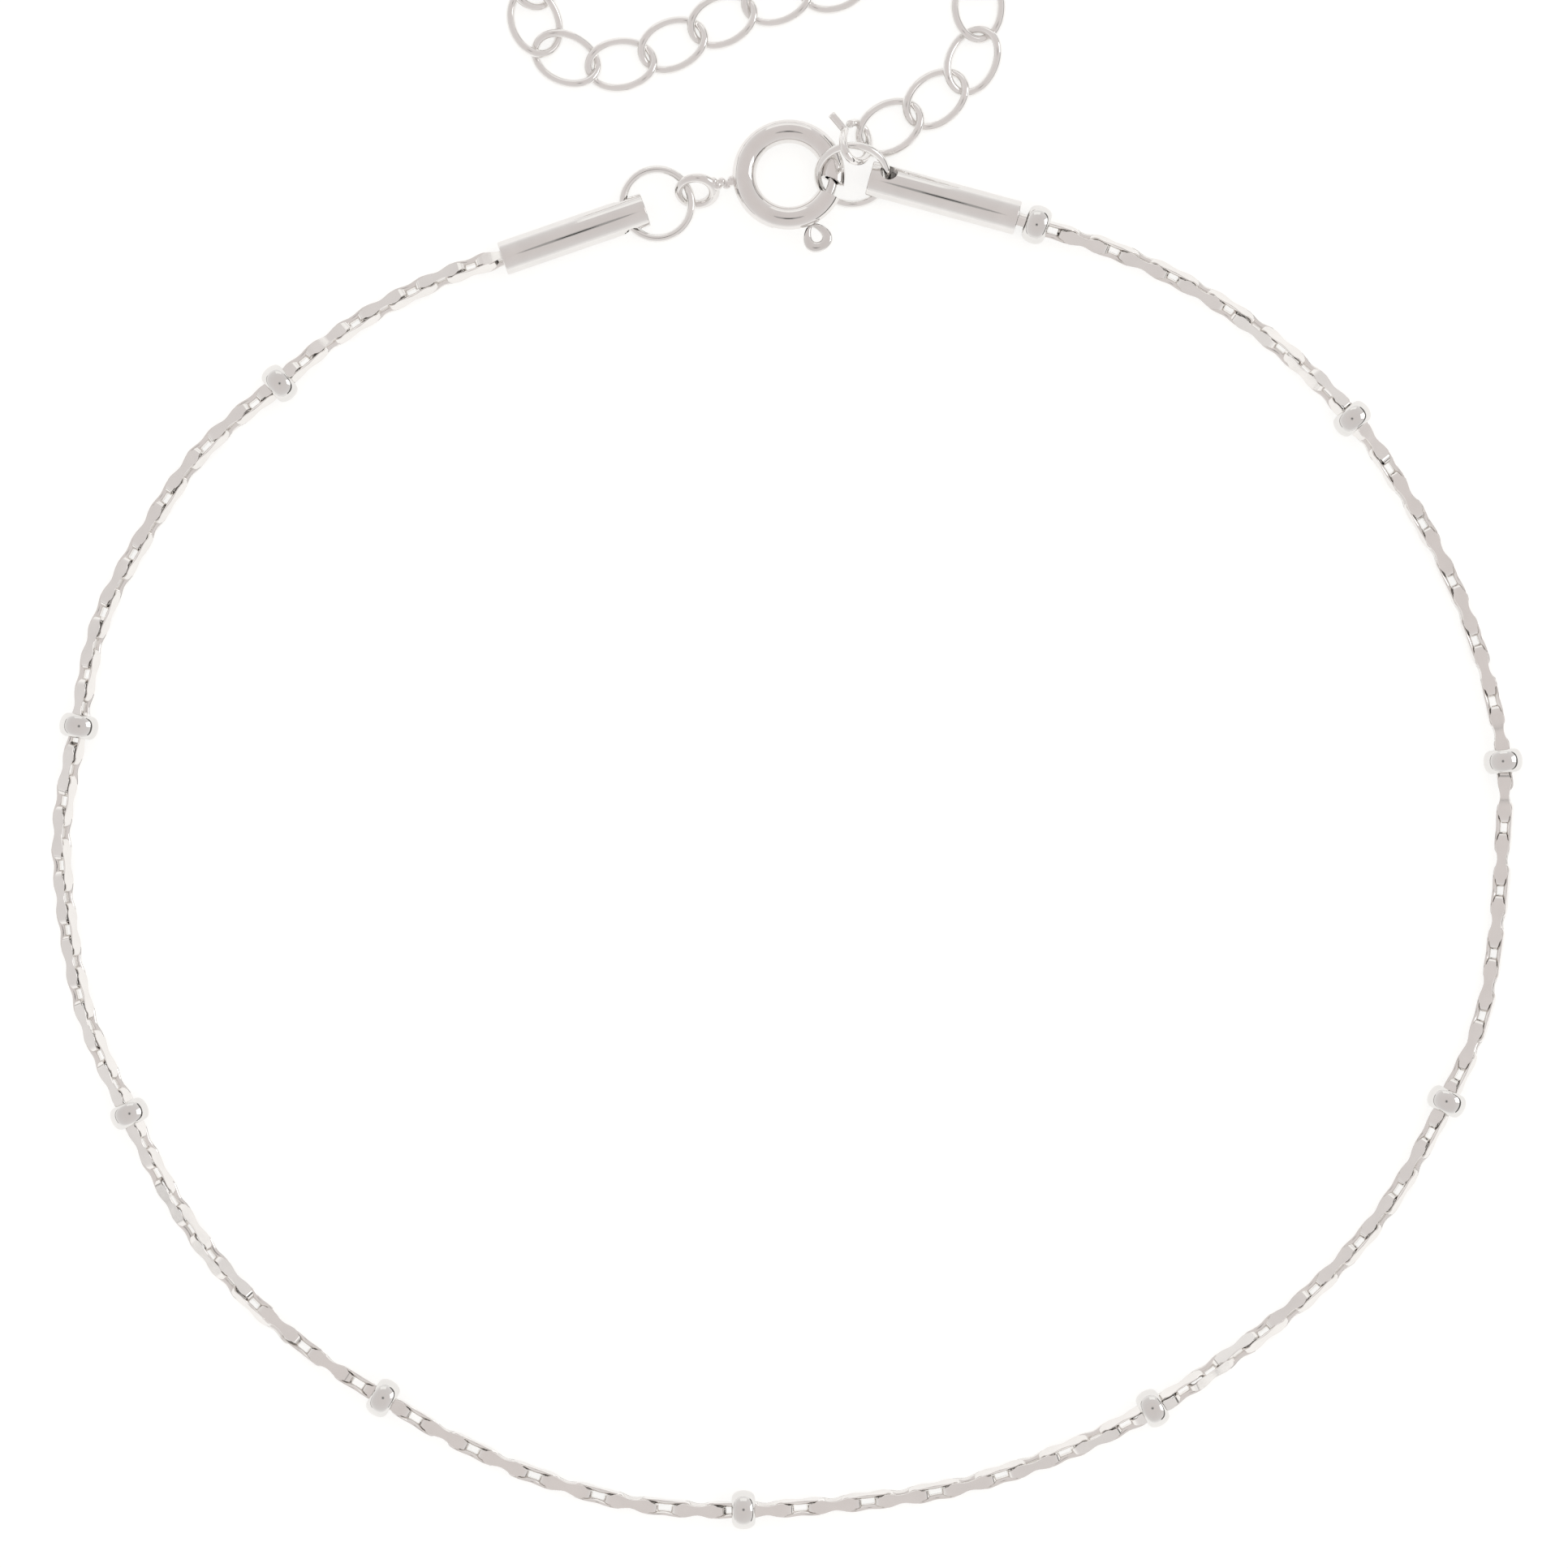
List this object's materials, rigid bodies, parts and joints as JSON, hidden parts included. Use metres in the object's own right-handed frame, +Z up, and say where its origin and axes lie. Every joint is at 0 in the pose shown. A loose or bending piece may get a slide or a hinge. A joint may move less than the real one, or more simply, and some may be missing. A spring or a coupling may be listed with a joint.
{
  "type": "chain bracelet",
  "caption": "Fine faceted silver-coloured chain bracelet with small round beads, tube end caps, a bolt ring clasp and an open-link extension chain, laid flat in a loop.",
  "frame": {"origin": "centre of the bounding box in plan, on the surface that the bracelet lies on", "axes": "+Z up from that surface; +Y from the middle of the loop towards the clasp; +X towards the end cap that is joined to the clasp through its closing jump ring"},
  "size_m": [0.0666, 0.0727, 0.0023],
  "materials": {
    "chain_silver": "polished silver-coloured metal with many small facets",
    "bead_silver": "mirror-polished silver-coloured metal",
    "cap_silver": "polished silver-coloured metal tube",
    "ring_silver": "polished silver-coloured round wire",
    "clasp_silver": "polished silver-coloured hollow tube, soldered eyelet",
    "bolt_silver": "polished silver-coloured wire",
    "extension_silver": "polished silver-coloured round wire links"
  },
  "bodies": {
    "bracelet": {"chain": "chain_silver", "bead_01": "bead_silver", "bead_02": "bead_silver", "bead_03": "bead_silver", "bead_04": "bead_silver", "bead_05": "bead_silver", "bead_06": "bead_silver", "bead_07": "bead_silver", "bead_08": "bead_silver", "bead_09": "bead_silver", "bead_10": "bead_silver", "end_cap_left": "cap_silver", "end_cap_right": "cap_silver", "jump_ring_left": "ring_silver", "jump_ring_right": "ring_silver", "clasp_ring": "clasp_silver", "extension_chain": "extension_silver"},
    "bolt": {"clasp_bolt": "bolt_silver"}
  },
  "joints": [
    {"name": "clasp_trigger", "type": "hinge", "parent": "bracelet", "child": "bolt", "pos_m": [0.00007, 0.02483, 0.00108], "axis": [0, 0.1392, 0.9903], "range_deg": [-32, 0], "stiffness_Nm_per_rad": 0.001, "springref_deg": 5.73}
  ]
}
